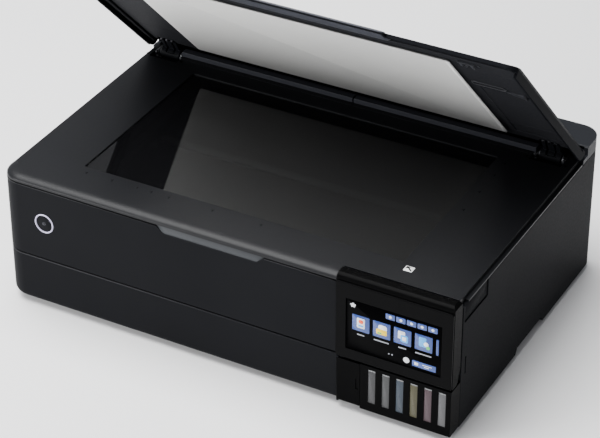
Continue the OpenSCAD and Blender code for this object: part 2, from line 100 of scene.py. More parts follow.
def area_light(name, place, target, size, power):
    """A rectangular softbox at a place, turned to its target."""
    data = bpy.data.lights.new(name, "AREA")
    data.shape = "RECTANGLE"
    data.size, data.size_y = size
    data.energy = power
    light = bpy.data.objects.new(name, data)
    bpy.context.scene.collection.objects.link(light)
    light.location = place
    aim = Vector(target) - Vector(place)
    light.rotation_euler = aim.to_track_quat("-Z", "Y").to_euler()


def make_studio():
    """A soft grey world, two softboxes from the left, and a pale floor."""
    world = bpy.data.worlds.new("studio")
    bpy.context.scene.world = world
    world.use_nodes = True
    tree = world.node_tree
    background = tree.nodes["Background"]
    direction = add(tree, "ShaderNodeTexCoord").outputs["Generated"]
    split = add(tree, "ShaderNodeSeparateXYZ")
    tree.links.new(direction, split.inputs["Vector"])
    sky = shades(tree, spread(tree, split.outputs["X"], 0, 1, -1, 1), *SKY)
    tree.links.new(sky, background.inputs["Color"])
    background.inputs["Strength"].default_value = 1.0
    for softbox in SOFTBOXES:
        area_light(*softbox)
    floor = bpy.data.meshes.new("floor")
    r = FLOOR_REACH
    floor.from_pydata([(-r, -r, 0), (r, -r, 0), (r, r, 0), (-r, r, 0)], [], [(0, 1, 2, 3)])
    stage = bpy.data.objects.new("floor", floor)
    bpy.context.scene.collection.objects.link(stage)
    stage.data.materials.append(floor_material())


# ---------------------------------------------------------------- materials
# Plastics whose painted edge highlight is this bright or less are made without the highlight nodes
LEAST_EDGE_HIGHLIGHT = 1.2


def new_material(name):
    """A new material, its node tree and its main shader."""
    material = bpy.data.materials.new(name)
    material.use_nodes = True
    tree = material.node_tree
    shader = tree.nodes["Principled BSDF"]
    return material, tree, shader


def add(tree, kind, **values):
    """A new shader node, with values for its sockets or its settings."""
    node = tree.nodes.new(kind)
    for key, value in values.items():
        if key in node.inputs:
            node.inputs[key].default_value = value
        else:
            setattr(node, key, value)
    return node


def noise(tree, coords, scale, detail=2.0):
    """Noise from about 0.3 to 0.7."""
    node = add(tree, "ShaderNodeTexNoise", Scale=scale, Detail=detail)
    tree.links.new(coords, node.inputs["Vector"])
    return node.outputs["Fac"]


def spread(tree, value, low, high, start=0.3, stop=0.7):
    """Maps a value that runs from start to stop onto low to high."""
    node = add(tree, "ShaderNodeMapRange")
    for socket, number in zip(("From Min", "From Max", "To Min", "To Max"), (start, stop, low, high)):
        node.inputs[socket].default_value = number
    tree.links.new(value, node.inputs["Value"])
    return node.outputs["Result"]


def shades(tree, factor, *stops):
    """A colour ramp through (position, grey or rgb) stops."""
    node = add(tree, "ShaderNodeValToRGB")
    ramp = node.color_ramp
    while len(ramp.elements) < len(stops):
        ramp.elements.new(0.5)
    for element, (position, colour) in zip(ramp.elements, stops):
        element.position = position
        element.color = (*colour, 1)
    tree.links.new(factor, node.inputs["Fac"])
    return node.outputs["Color"]


def scaled(colour, k):
    """A colour made k times as bright."""
    return tuple(min(1, c * k) for c in colour)


def edge_highlight_mask(tree, reach=0.0007):
    """Mask for the painted edge highlight: rises from 0 on a flat surface to 1 on an edge, from how far a rounded
    normal would lean.
    """
    rounded = add(tree, "ShaderNodeBevel", samples=4, Radius=reach)
    flat = add(tree, "ShaderNodeNewGeometry").outputs["Normal"]
    lean = add(tree, "ShaderNodeVectorMath", operation="DOT_PRODUCT")
    tree.links.new(rounded.outputs["Normal"], lean.inputs[0])
    tree.links.new(flat, lean.inputs[1])
    return spread(tree, lean.outputs["Value"], 1, 0, 0.86, 0.995)


def plastic(name, colour, rough, grain=1400, depth=0.00002, vary=0.12, edge=1.5, specular=0.5):
    """Moulded plastic: fine grain in the bump, drifting colour and roughness, and a painted highlight that
    brightens the edges.
    """
    material, tree, shader = new_material(name)
    coords = add(tree, "ShaderNodeTexCoord").outputs["Object"]
    drift = noise(tree, coords, 7, 3)
    speck = noise(tree, coords, 420, 2)
    base = shades(tree, drift, (0.25, scaled(colour, 1 - vary)), (0.75, scaled(colour, 1 + vary)))
    # Painted highlight: where the mask finds an edge, the colour is made edge times as bright
    if edge > LEAST_EDGE_HIGHLIGHT:
        mix = add(tree, "ShaderNodeMix", data_type="RGBA")
        mix.inputs["B"].default_value = (*scaled(colour, edge), 1)
        tree.links.new(edge_highlight_mask(tree), mix.inputs["Factor"])
        tree.links.new(base, mix.inputs["A"])
        base = mix.outputs["Result"]
    tree.links.new(base, shader.inputs["Base Color"])
    tree.links.new(spread(tree, speck, rough - 0.04, rough + 0.05), shader.inputs["Roughness"])
    bump = add(tree, "ShaderNodeBump", Strength=0.5, Distance=depth)
    tree.links.new(noise(tree, coords, grain, 2), bump.inputs["Height"])
    tree.links.new(bump.outputs["Normal"], shader.inputs["Normal"])
    shader.inputs["Specular IOR Level"].default_value = specular
    return material


def metal(name, colour, rough, streak=(4, 900, 900)):
    """Plated or brushed steel with streaks along one axis."""
    material, tree, shader = new_material(name)
    coords = add(tree, "ShaderNodeTexCoord").outputs["Object"]
    stretch = add(tree, "ShaderNodeMapping")
    stretch.inputs["Scale"].default_value = streak
    tree.links.new(coords, stretch.inputs["Vector"])
    lines = noise(tree, stretch.outputs["Vector"], 1.0, 4)
    tree.links.new(shades(tree, lines, (0.3, scaled(colour, 0.82)), (0.7, colour)),
                   shader.inputs["Base Color"])
    tree.links.new(spread(tree, lines, rough - 0.06, rough + 0.1), shader.inputs["Roughness"])
    shader.inputs["Metallic"].default_value = 1.0
    bump = add(tree, "ShaderNodeBump", Strength=0.25, Distance=0.00001)
    tree.links.new(lines, bump.inputs["Height"])
    tree.links.new(bump.outputs["Normal"], shader.inputs["Normal"])
    return material


def glass(name, colour, rough=0.03, alpha=1.0, smudge=0.05, specular=0.5):
    """Smooth glass or gloss film with faint smudges in the roughness."""
    material, tree, shader = new_material(name)
    coords = add(tree, "ShaderNodeTexCoord").outputs["Object"]
    smear = noise(tree, coords, 16, 4)
    tree.links.new(shades(tree, smear, (0.35, scaled(colour, 0.9)), (0.7, colour)),
                   shader.inputs["Base Color"])
    tree.links.new(spread(tree, smear, rough, rough + smudge, 0.4, 0.75), shader.inputs["Roughness"])
    shader.inputs["Alpha"].default_value = alpha
    shader.inputs["Specular IOR Level"].default_value = specular
    return material


def lit(name, colour, strength, rough=0.2):
    """A lit area of the display: glowing, with its brightness drifting a little."""
    material, tree, shader = new_material(name)
    coords = add(tree, "ShaderNodeTexCoord").outputs["Object"]
    drift = noise(tree, coords, 60, 2)
    glow = shades(tree, drift, (0.2, scaled(colour, 0.85)), (0.8, colour))
    tree.links.new(glow, shader.inputs["Emission Color"])
    tree.links.new(glow, shader.inputs["Base Color"])
    shader.inputs["Emission Strength"].default_value = strength
    shader.inputs["Roughness"].default_value = rough
    return material


def floor_material():
    """White background paper."""
    material, tree, shader = new_material("floor_paper")
    coords = add(tree, "ShaderNodeTexCoord").outputs["Object"]
    white = shades(tree, noise(tree, coords, 1.5), (0.3, (0.93, 0.93, 0.935)), (0.7, (0.95, 0.95, 0.955)))
    tree.links.new(white, shader.inputs["Base Color"])
    shader.inputs["Roughness"].default_value = 0.55
    return material


# edge: how many times as bright each plastic's painted edge highlight is; above LEAST_EDGE_HIGHLIGHT it is drawn
CASING = plastic("casing_black", (0.009, 0.0093, 0.0105), 0.42, edge=3.0, specular=0.012)
BED = plastic("bed_black", (0.0078, 0.0081, 0.0093), 0.36, specular=0.16)
# A paler plastic for thin strips that are a painted highlight along the seams
EDGE_HIGHLIGHT = plastic("edge_painted_highlight", (0.013, 0.0136, 0.016), 0.45, edge=1.1, specular=0.15)
LID = plastic("lid_black", (0.006, 0.0064, 0.0078), 0.45, edge=1.6, specular=0.006)
LID_INNER = plastic("lid_inner", (0.018, 0.0185, 0.021), 0.55, grain=800, edge=2.2, specular=0.01)
HOUSING = plastic("housing_black", (0.012, 0.013, 0.0155), 0.42, edge=2.5, specular=0.1)
INNER = plastic("inner_black", (0.006, 0.0064, 0.0078), 0.5, grain=800, edge=4, specular=0.04)
GLOSS = plastic("panel_black", (0.0017, 0.0017, 0.0018), 0.3, grain=300, depth=0.000004, edge=2.0,
                specular=0.02)
TRIM = plastic("trim_grey", (0.16, 0.165, 0.175), 0.38)
RING = plastic("ring", (0.56, 0.53, 0.72), 0.3, edge=1.1)
DETAIL = plastic("detail_grey", (0.022, 0.023, 0.027), 0.42, edge=2.2, specular=0.3)
SIGN = plastic("sign_grey", (0.1, 0.1, 0.12), 0.4)
PAD = plastic("pad_white", (0.66, 0.66, 0.64), 0.55, grain=500, vary=0.03, edge=1.0)
GEAR = plastic("gear_white", (0.7, 0.69, 0.64), 0.45, vary=0.05, edge=1.0)
BELT = plastic("belt", (0.015, 0.015, 0.015), 0.7, grain=700)
FEET = plastic("feet", (0.03, 0.03, 0.03), 0.85, grain=500)
SOCKET = plastic("socket", (0.012, 0.012, 0.012), 0.45)
BOARD = plastic("board", (0.015, 0.13, 0.06), 0.35, grain=200, edge=1.1)
CAPS = plastic("caps", (0.2, 0.21, 0.23), 0.4)
STRIP = plastic("strip_dark", (0.03, 0.0315, 0.038), 0.36, specular=0.15)
# The lip's grey, far lighter than the lid, is a painted reflection
LIP_REFLECTION = plastic("lid_lip_painted_reflection", (0.05, 0.053, 0.064), 0.45, specular=0.2)
STEEL = metal("steel", (0.55, 0.56, 0.58), 0.32)
SHEET = glass("panel_sheet", (0.0025, 0.0025, 0.0027), 0.08, specular=0.03)
SCREEN = glass("display", (0.0008, 0.0008, 0.001), 0.3, specular=0.01)
PLATE = glass("scan_glass", (0.004, 0.004, 0.0045), 0.02, alpha=0.8)
# The scoop's light grey is a painted highlight
SCOOP_HIGHLIGHT = plastic("scoop_painted_highlight", (0.048, 0.051, 0.055), 0.45, specular=0.1)
# Also the near-black strips in the front seams, where it is painted shade
MARK = plastic("mark_black", (0.0015, 0.0015, 0.0018), 0.5, specular=0.02)
SCREW = metal("screw_black", (0.05, 0.05, 0.055), 0.4)
LABEL = plastic("label_white", (0.8, 0.8, 0.8), 0.5, grain=300, vary=0.02, edge=1.0)
FOAM = plastic("pad_foam", (0.3, 0.3, 0.3), 0.9, grain=700, edge=1.0)
# A painted highlight along the pad's turned edges
PAD_EDGE_HIGHLIGHT = plastic("pad_edge_highlight", (0.78, 0.78, 0.77), 0.5, grain=500, vary=0.02, edge=1.0)
TANK_TOP = plastic("tank_top", (0.19, 0.195, 0.2), 0.2, grain=80, depth=0.00001, edge=1.0)
LIT_WHITE = lit("lit_white", (0.7, 0.72, 0.76), 0.5)
LIT_PALE = lit("lit_pale", (0.24, 0.25, 0.28), 0.5)
LIT_BLUE = lit("lit_blue", (0.028, 0.06, 0.23), 0.6)
LIT_BUTTON = lit("lit_button", (0.035, 0.07, 0.25), 0.6)
LIT_SKY = lit("lit_sky", (0.05, 0.33, 0.75), 0.6)
LIT_RED = lit("lit_red", (0.75, 0.06, 0.01), 0.7)
LIT_YELLOW = lit("lit_yellow", (0.8, 0.54, 0.0), 0.7)
LIT_GREEN = lit("lit_green", (0.08, 0.42, 0.08), 0.6)
MATERIALS = {"casing_black": CASING, "bed_black": BED, "inner_black": INNER, "panel_black": GLOSS,
             "trim_grey": TRIM, "ring": RING, "pad_white": PAD, "gear_white": GEAR, "belt": BELT,
             "feet": FEET, "socket": SOCKET, "board": BOARD, "caps": CAPS, "steel": STEEL,
             "panel_sheet": SHEET, "display": SCREEN, "scan_glass": PLATE, "tanks": CAPS}
# CAD nodes that look different from the rest of their slot
NODE_MATERIALS = {"rear_strips": STRIP, "rear_feeder_housing": HOUSING, "lid_outer": LID}
# How far the edges of a CAD node are rounded, in mm
NODE_ROUND, HOUSING_ROUND = 0.4, 2.2


def soften(obj, width, angle=32, segments=3):
    """Rounds an object's sharp edges with modifiers, so that they catch the light."""
    weld = obj.modifiers.new("weld", "WELD")
    weld.merge_threshold = 0.00001
    bevel = obj.modifiers.new("round", "BEVEL")
    bevel.width = width * MM
    bevel.segments = segments
    bevel.limit_method = "ANGLE"
    bevel.angle_limit = math.radians(angle)
    normals = obj.modifiers.new("normals", "WEIGHTED_NORMAL")
    normals.mode = "FACE_AREA_WITH_ANGLE"
    normals.weight = 90
    for face in obj.data.polygons:
        face.use_smooth = True


def dress_nodes():
    """Gives every CAD node its own or its slot's material, and softened edges."""
    for row in frame["record"]["subparts"]:
        name = row["node"]
        obj = nodes[name]
        obj.data.materials.clear()
        obj.data.materials.append(NODE_MATERIALS.get(name, MATERIALS[row["material_slot"]]))
        soften(obj, HOUSING_ROUND if name == "rear_feeder_housing" else NODE_ROUND)


# ---------------------------------------------------------------- mesh tools
def new_object(name, shape):
    """An object from (points in site mm, faces), with its faces turned outwards."""
    points, faces = shape
    mesh = bpy.data.meshes.new(name)
    mesh.from_pydata([at(*p) for p in points], [], faces)
    work = bmesh.new()
    work.from_mesh(mesh)
    bmesh.ops.recalc_face_normals(work, faces=work.faces)
    work.to_mesh(mesh)
    work.free()
    obj = bpy.data.objects.new(name, mesh)
    bpy.context.scene.collection.objects.link(obj)
    return obj


def combine(obj, shape, operation):
    """Adds a shape to a piece's mesh, or cuts it out."""
    tool = new_object("tool", shape)
    step = obj.modifiers.new("step", "BOOLEAN")
    step.operation = operation
    step.solver = "EXACT"
    step.object = tool
    bpy.context.view_layer.update()
    result = bpy.data.meshes.new_from_object(obj.evaluated_get(bpy.context.evaluated_depsgraph_get()))
    obj.modifiers.remove(step)
    obj.data = result
    bpy.data.objects.remove(tool)


def piece(name, shape, material, body, replaces=(), adds=(), cuts=(), round_mm=0.3, angle=32,
          lid=False):
    """Makes a piece from shapes in site mm, and lets it ride on a body."""
    obj = new_object(name, shape)
    for extra in adds:
        combine(obj, extra, "UNION")
    for cut in cuts:
        combine(obj, cut, "DIFFERENCE")
    obj.data.name = name
    if lid:
        obj.data.transform(OPEN_LID)
    obj.data.materials.clear()
    obj.data.materials.append(material)
    for polygon in obj.data.polygons:
        polygon.use_smooth = True
    if round_mm:
        soften(obj, round_mm, angle)
    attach(obj, body)
    if replaces:
        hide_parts(*replaces)
    return obj


def merge(*parts):
    """Joins several (points, faces) shapes into one."""
    points, faces = [], []
    for more_points, more_faces in parts:
        start = len(points)
        points += more_points
        faces += [tuple(i + start for i in face) for face in more_faces]
    return points, faces


def loft(loops):
    """A closed solid through loops of equal length, capped at both ends."""
    count = len(loops[0])
    points = [p for loop in loops for p in loop]
    faces = [tuple(range(count))[::-1], tuple(range(len(points) - count, len(points)))]
    for k in range(len(loops) - 1):
        for i in range(count):
            j = (i + 1) % count
            faces.append((k * count + i, k * count + j, (k + 1) * count + j, (k + 1) * count + i))
    return points, faces


def sweep(path, section, adjust=lambda x, y, z: z):
    """Runs a closed section of (inset, z) along an open path of (x, y, outward x, outward y)."""
    return loft([[(x - nx * inset, y - ny * inset, adjust(x, y, z)) for inset, z in section]
                 for x, y, nx, ny in path])


def arc(cx, cy, r, start, stop, steps=12):
    """Path points round a corner, each with its outward direction."""
    angles = [math.radians(start + (stop - start) * k / steps) for k in range(steps + 1)]
    return [(cx + r * math.cos(a), cy + r * math.sin(a), math.cos(a), math.sin(a)) for a in angles]


def fillet(cx, cz, r, start, stop, steps=5):
    """Section points (inset, z) round an edge."""
    return [(p[0], p[1]) for p in arc(cx, cz, r, start, stop, steps)]


def round_rect(x0, x1, y0, y1, radii, steps=8):
    """A closed outline with corner radii in the order front left, front right, rear right, rear left."""
    fl, fr, rr, rl = radii
    corners = ((x0 + fl, y0 + fl, fl, 180), (x1 - fr, y0 + fr, fr, 270),
               (x1 - rr, y1 - rr, rr, 0), (x0 + rl, y1 - rl, rl, 90))
    return [(x, y) for cx, cy, r, a in corners for x, y, _, _ in arc(cx, cy, r, a, a + 90, steps)]


def slab(x0, x1, y0, y1, z0, z1, r=1.0, edge=0.3):
    """A plate with rounded corners and softened rims."""
    rims = ((edge, z0), (0, z0 + edge), (0, z1 - edge), (edge, z1))
    return loft([[(x, y, z) for x, y in round_rect(x0 + i, x1 - i, y0 + i, y1 - i, [max(r - i, 0.05)] * 4, 4)]
                 for i, z in rims])


def face_plate(x0, x1, z0, z1, y_back, y_front, r=1.0, edge=0.2):
    """A plate that faces the front, with rounded corners and softened rims."""
    rims = ((0, y_back), (0, y_front + edge), (edge, y_front))
    return loft([[(x, y, z) for x, z in round_rect(x0 + i, x1 - i, z0 + i, z1 - i, [max(r - i, 0.05)] * 4, 4)]
                 for i, y in rims])


def bar(start, stop, r, chamfer=0.3, steps=24):
    """A round bar between two points, with chamfered ends."""
    start, stop = Vector(start), Vector(stop)
    along = (stop - start).normalized()
    side = along.orthogonal().normalized()
    other = along.cross(side)
    rings = ((start, r - chamfer), (start + along * chamfer, r), (stop - along * chamfer, r),
             (stop, r - chamfer))
    turns = [2 * math.pi * k / steps for k in range(steps)]
    return loft([[tuple(c + side * radius * math.cos(t) + other * radius * math.sin(t)) for t in turns]
                 for c, radius in rings])


def block(x0, x1, y0, y1, z0, z1):
    """A plain box between three pairs of sides."""
    return loft([[(x, y, z) for x, y in ((x0, y0), (x1, y0), (x1, y1), (x0, y1))] for z in (z0, z1)])


def prism_y(outline, y0, y1):
    """A flat (x, z) outline run along Y."""
    return loft([[(x, y, z) for x, z in outline] for y in (y0, y1)])


# ---------------------------------------------------------------- scanner bed and casing front
PANEL_X = span("panel_housing")[0][0] - 0.4
BED_Z = span("scanner_top")[1][2]
SEAM_Z = span("scanner_top")[0][2]
CORNER_R = 24
# Sides of the scan window: left, right, front and rear
WINDOW = (73.7, 441.7, 51.3, 270.9)
# Middle of each lid hinge along X, and the axis they share
HINGES = (("left", 27), ("right", 489))
HINGE_Y, HINGE_Z = 305, 152.4
# Cuts run past the part's left, right, front and rear, and from below the scan bed to above the lid
PAST_LEFT, PAST_RIGHT, PAST_FRONT, PAST_REAR = -9, 540, -9, 330
UNDER, OVER = 140, 170


def front_path(y_left, x_right):
    """Path round the front left corner, from y_left on the left side to x_right on the front."""
    return ([(0, y_left, -1, 0)] + arc(CORNER_R, CORNER_R, CORNER_R, 180, 270, 16)
            + [(x, 0, 0, -1) for x in (x_right * 0.4, x_right)])


def make_scanner_top():
    """Scanner bed: its rounded front band, the deck with the window, and the start corner's label."""
    band = ([(22, SEAM_Z), (0.1, SEAM_Z), (0.1, SEAM_Z + 0.9)]
            + [(12 - 11.9 * math.cos(a), SEAM_Z + 0.9 + (BED_Z - SEAM_Z - 0.9) * math.sin(a))
               for a in [math.radians(d) for d in range(10, 91, 10)]] + [(22, BED_Z)])
    deck = loft([[(x, y, z) for x, y in round_rect(4.6, WIDTH - 4.6, 17.6, 315.9, (19, 1, 8, 8))]
                 for z in (SEAM_Z + 1.6, BED_Z)])
    ledge = loft([[(x, y, z) for x, y in ((0.1, 27.9), (WIDTH - 0.1, 27.9), (WIDTH - 0.1, 305), (0.1, 305))]
                  for z in (SEAM_Z, SEAM_Z + 1.6)])
    hinge_gaps = [block(x - 18, x + 18, 283, PAST_REAR, UNDER, OVER) for _, x in HINGES]
    side_gaps = []
    for wide, front in ((9.6, 314), (5, 305.1)):
        side_gaps += [block(PAST_LEFT, wide, front, PAST_REAR, UNDER, OVER),
                      block(WIDTH - wide, PAST_RIGHT, front, PAST_REAR, UNDER, OVER)]
    window = loft([[(x, y, z) for x, y in round_rect(WINDOW[0] - i, WINDOW[1] + i, WINDOW[2] - i,
                                                     WINDOW[3] + i, [1.5 + i] * 4, 4)]
                   for i, z in ((0, UNDER), (0, BED_Z - 0.4), (0.3, BED_Z - 0.1), (0.4, OVER))])
    pocket = block(58, 458, 38, 286, UNDER, SEAM_Z + 4.5)
    groove = slab(30, WIDTH - 30, 291.4, 292.4, BED_Z - 0.5, 160, 0.4, 0.05)
    piece("scanner_bed", sweep(front_path(27.9, PANEL_X - 1), band), BED, "scanner",
          ["scanner_top"], adds=[deck, ledge, block(PANEL_X - 2, WIDTH - 4.6, 17.4, 30, SEAM_Z, BED_Z)],
          cuts=[merge(*hinge_gaps), merge(*side_gaps), window, pocket, groove,
                block(PANEL_X - 1, PAST_RIGHT, PAST_FRONT, 17, UNDER, OVER)], round_mm=0.35, angle=40)
    piece("start_corner_label", slab(447.6, 457, 37.4, 46.2, BED_Z - 0.1, BED_Z + 0.12, 0.8, 0.04), LABEL,
          "scanner", round_mm=0)
    arrow = [((455.2, 38.2), (456.4, 39.4), (451.6, 44), (450.4, 42.8)),
             ((448.4, 45.4), (448.4, 40.6), (453.4, 45.4))]
    shapes = [loft([[(x, y, z) for x, y in outline] for z in (BED_Z, BED_Z + 0.16)]) for outline in arrow]
    piece("start_corner_arrow", merge(*shapes), GLOSS, "scanner", round_mm=0)


def make_front_cover():
    """Front cover with its rolled bottom edge, and the wing that wraps round the left corner. Pale strips along
    the top of the cover and of the front panel are a painted highlight, and near-black strips in the seams above
    them are painted shade.
    """
    (_, _, low), (_, _, high) = span("front_cover")
    hinge_y, hinge_z, pin_r, bore_r = 6, 11.5, 3.4, 1.66
    swing = high - hinge_z

    def below_swing(x, y, z):
        reach = math.sqrt(max(swing ** 2 - (y - hinge_y) ** 2, 0)) if y > 3 else swing
        return min(z, hinge_z + reach)

    step = high - 1.0
    section = (fillet(7, low + 7, 7, 270, 180) + [(0, step - 1.5), (0.9, step - 0.3), (1.6, step - 0.3),
               (1.7, high), (2.4, high), (2.6, high - 0.3), (2.6, low + 8)]
               + fillet(7, low + 7, 4.4, 180, 270))
    arms = []
    for x in (64.6, 334.6):
        arms += [bar((x, hinge_y, hinge_z), (x + 13, hinge_y, hinge_z), pin_r),
                 block(x, x + 13, 2, hinge_y, 9, 14)]
    bores = [bar((x, hinge_y, hinge_z), (x + 22, hinge_y, hinge_z), bore_r, 0) for x in (60, 330)]
    piece("front_cover_shell", sweep(front_path(25.6, PANEL_X - 0.6), section, below_swing), CASING,
          "front_cover", ["front_cover"], adds=arms, cuts=[merge(*bores)], round_mm=0.2,
          angle=50)
    # Along the top of the cover: a pale strip that is a painted highlight on its edge, and a near-black strip in
    # the seam above it that is painted shade
    path = front_path(25.4, PANEL_X - 0.8)
    highlight_line = [(0.02, step - 1.5), (0.02, step - 0.9), (0.5, step - 0.4), (1.4, step - 0.4), (1.4, step - 1)]
    shade_line = [(0.4, step - 0.4), (0.4, high - 0.02), (1.7, high - 0.02), (1.7, step - 0.4)]
    for name, section, material in (("edge", highlight_line, EDGE_HIGHLIGHT), ("gap", shade_line, MARK)):
        piece("front_cover_" + name, sweep(path, section, below_swing), material, "front_cover",
              round_mm=0, angle=50)
    # The same pair under the scanner's seam along the front panel: a painted highlight and painted shade
    proud = 0.05
    highlight_line = [(-proud, SEAM_Z - 2.2), (-proud, SEAM_Z - 1.6), (0.5, SEAM_Z - 1.6), (0.5, SEAM_Z - 2.2)]
    shade_line = [(-proud, SEAM_Z - 1.6), (-proud, SEAM_Z - 0.5), (0.5, SEAM_Z - 0.5), (0.5, SEAM_Z - 1.6)]
    # The left line starts a little way round the corner, so that it stays inside the casing's box
    paths = {"left": front_path(25.4, 191)[3:], "right": [(x, 0, 0, -1) for x in (315, PANEL_X - 1.2)]}
    for name, path in paths.items():
        piece("front_panel_highlight_" + name, sweep(path, highlight_line), EDGE_HIGHLIGHT, "body", round_mm=0,
              angle=50)
        piece("front_panel_shade_" + name, sweep(path, shade_line), MARK, "body", round_mm=0,
              angle=50)


def make_scoop():
    """Lining of the finger scoop under the lid's front edge, in a grey far lighter than the casing: a painted
    highlight for the light its sloped face catches.
    """
    low, back, rows = 142.1, 8, 8
    low_left, low_right = 199.4, 305.6
    rise = SEAM_Z - 1.0 - low
    levels = []
    for row in range(rows + 1):
        share = row / rows
        spread_x = 4.2 * math.sqrt(share) + 6.2 * share
        front = 0.3 + 1.6 * (1 - math.cos(share * math.pi / 2)) ** 0.8
        left, right = low_left - spread_x, low_right + spread_x * 0.94
        levels.append([(x, y, low + rise * share) for x, y in
                       ((left + 1.2, front), (right - 1.2, front), (right, front + 0.4), (right, back),
                        (left, back), (left, front + 0.4))])
    piece("scoop_lining", loft(levels), SCOOP_HIGHLIGHT, "body", round_mm=0, angle=60)


def make_power_ring():
    """Pale light ring round the power button, with the generic stroke and arc on the button."""
    (x0, y0, z0), (x1, y1, z1) = span("power_ring")
    cx, cz, r = (x0 + x1) / 2, (z0 + z1) / 2, (x1 - x0) / 2
    ring = bar((cx, y0 + 0.02, cz), (cx, y1, cz), r, 0.5, 64)
    piece("power_light_ring", ring, RING, "body", ["power_ring"],
          cuts=[bar((cx, -3, cz), (cx, 9, cz), r - 1.3, 0, 64)], round_mm=0)
    cap = bar((cx, -0.02, cz), (cx, 4.9, cz), r - 2.0, 0.4, 64)
    mark = [(cx + 1.7 * math.sin(a), cz + 1.7 * math.cos(a)) for a in
            [math.radians(d) for d in range(40, 321, 20)]]
    mark += [(cx + 1.4 * math.sin(a), cz + 1.4 * math.cos(a)) for a in
             [math.radians(d) for d in range(320, 39, -20)]]
    sign = merge(prism_y(mark, -0.12, 0.3), block(cx - 0.16, cx + 0.16, -0.12, 0.3, cz + 0.7, cz + 2.2))
    piece("power_button_cap", cap, CASING, "power_button", ["power_button"],
          adds=[bar((cx, 4.5, cz), (cx, 12, cz), 4)], round_mm=0)
    piece("power_button_sign", sign, SIGN, "power_button", round_mm=0)


# ---------------------------------------------------------------- control panel and ink unit
# Sides of the display's lit part: left, right, bottom and top
SCREEN_BOX = (410.2, 508.3, 79.5, 134.3)
# The display's dark face, and where the lit areas on it start, just behind it
SCREEN_Y, LIT_Y = -4.4, -4.38
INK_TINTS = ((0.058, 0.058, 0.06), (0.064, 0.065, 0.066), (0.05, 0.062, 0.078), (0.078, 0.073, 0.045),
             (0.078, 0.055, 0.062), (0.105, 0.105, 0.108))


def make_panel():
    """Control panel: tilting housing with a bevelled top, and its glossy front sheet."""
    left, right = span("panel_housing")[0][0], span("panel_housing")[1][0]
    low = span("panel_housing")[0][2]
    outer = [(-3, low), (-3, 155), (-2.2, 157.3), (-1, 158.6), (0.8, 159.8), (3, 160.4), (10, 160.5),
             (12.2, 159.2), (13, 158), (14, 150), (14, 80), (7.5, low)]
    inner = [(-0.6, 67), (-0.6, 154), (1.5, 156.8), (4, 159.2), (9, 159.2), (10.4, 157.6), (10.4, 156.4),
             (17, 156.4), (17, 66.9)]
    shell = loft([[(x, y, z) for y, z in outer] for x in (left, right)])
    hollow = loft([[(x, y, z) for y, z in inner] for x in (left + 2.6, right - 2.7)])
    corner = loft([[(x, y, z) for x, z in ((right - 5, 162), (right + 2, 162), (right + 2, 155.4))]
                   for y in (-9, 30)])
    edge = loft([[(x, y, z) for x, y in ((right - 1.7, -4), (right + 1, -4), (right + 1, -1.2))]
                 for z in (50, 170)])
    pins = [bar((x0, 5, 156), (x1, 5, 156), 2, 0.2)
            for x0, x1 in ((PANEL_X + 2, PANEL_X + 11), (right - 10.9, right - 1.9))]
    piece("panel_shell", shell, GLOSS, "panel", ["panel_housing"], adds=pins,
          cuts=[hollow, corner, edge], round_mm=0.45, angle=25)
    (x0, _, z0), (x1, _, z1) = span("panel_glass")
    sheet = face_plate(x0, x1, z0, z1, -3, -5, 2.2, 0.5)
    opening = face_plate(408, 511, 77, 136.6, 0, -8, 0.6, 0.1)
    piece("panel_sheet", sheet, SHEET, "panel", ["panel_glass"], cuts=[opening],
          round_mm=0.12)


# Each tile's icon: layers of rounded shapes, given from the tile's left side and the screen's bottom
ICONS = (
    ((LIT_WHITE, 5.0, 13.6, 26.2, 37.8, 1.0), (LIT_RED, 6.8, 12.0, 31.6, 36.0, 2.0),
     (LIT_SKY, 6.6, 12.2, 28.0, 29.8, 0.6)),
    ((LIT_WHITE, 5.6, 15.0, 30.6, 37.4, 2.6), (LIT_YELLOW, 3.4, 15.0, 26.0, 32.2, 1.4),
     (LIT_GREEN, 5.0, 9.4, 26.6, 28.4, 0.6)),
    ((LIT_WHITE, 4.4, 12.0, 28.6, 37.6, 1.0), (LIT_SKY, 7.2, 15.2, 25.4, 33.6, 1.4),
     (LIT_WHITE, 9.0, 13.4, 27.2, 31.8, 0.8)),
    ((LIT_SKY, 4.2, 12.0, 27.0, 38.0, 1.0), (LIT_WHITE, 9.4, 14.6, 28.2, 33.4, 2.4),
     (LIT_GREEN, 12.2, 16.2, 25.4, 29.2, 1.8)),
)


def on_screen(x0, x1, z0, z1, depth=0.06, r=0.8):
    """A flat area of the display, measured from the screen's lower left corner."""
    left, _, bottom, _ = SCREEN_BOX
    return face_plate(left + x0, left + x1, bottom + z0, bottom + z1, LIT_Y, SCREEN_Y - depth, r, 0.02)


def screen_disc(x, z, r, depth=0.1):
    """A round dot on the display, measured from the same corner."""
    left, _, bottom, _ = SCREEN_BOX
    return bar((left + x, LIT_Y, bottom + z), (left + x, SCREEN_Y - depth, bottom + z), r, 0.02, 20)


